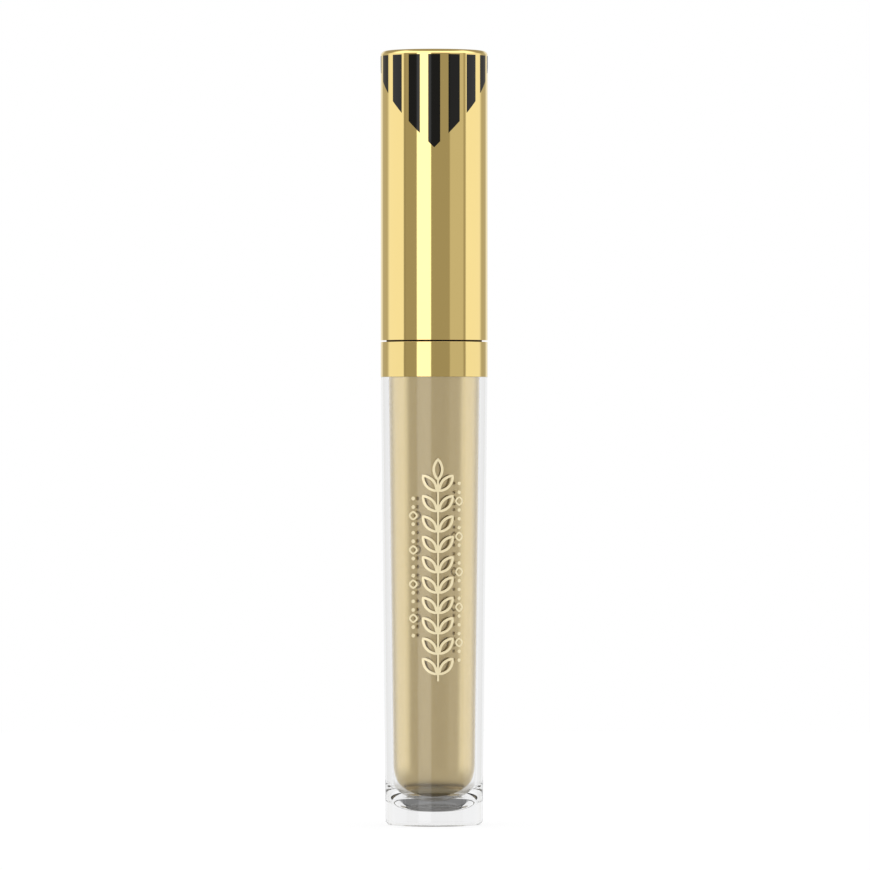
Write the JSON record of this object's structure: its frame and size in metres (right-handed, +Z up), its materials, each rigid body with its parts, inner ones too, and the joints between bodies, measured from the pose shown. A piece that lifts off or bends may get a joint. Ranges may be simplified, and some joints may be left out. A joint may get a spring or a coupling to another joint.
{
  "type": "mascara tube",
  "caption": "Closed mascara tube: a gold vial in a clear jacket under a gold collar and screw cap that carries the wand and its brush.",
  "frame": {"origin": "centre of the foot that the closed tube stands on", "axes": "+Z up along the tube to the cap's top, -Y the front with the ray fan on the cap, +X to the right of the front"},
  "size_m": [0.017, 0.017, 0.1228],
  "materials": {
    "clear_jacket": "clear, polished",
    "vial_gold": "satin gold paint",
    "collar_gold": "metallised gold, glossy",
    "wiper_plastic": "milky, slightly waxy",
    "cap_gold": "metallised gold, glossy, with a black lacquered ray fan",
    "liner_plastic": "black, moulded",
    "washer_foam": "white foam",
    "rod_plastic": "black, glossy",
    "core_plastic": "black, moulded",
    "bristle_elastomer": "black, soft, wet with product"
  },
  "bodies": {
    "bottle": {"outer_jacket": "clear_jacket", "inner_vial": "vial_gold", "shoulder_collar": "collar_gold", "wiper": "wiper_plastic"},
    "seal": {"sealing_washer": "washer_foam"},
    "wand": {"cap_shell": "cap_gold", "inner_cap": "liner_plastic", "wand_rod": "rod_plastic", "brush_core": "core_plastic", "brush_bristles": "bristle_elastomer"}
  },
  "joints": [
    {"name": "wand_lift", "type": "slide", "parent": "bottle", "child": "seal", "axis": [0, 0, 1], "range_m": [0, 0.085], "deforming": ["brush_bristles"]},
    {"name": "cap_turn", "type": "hinge", "parent": "seal", "child": "wand", "pos_m": [0, 0, 0.0887], "axis": [0, 0, 1], "range_deg": [0, 540]}
  ]
}
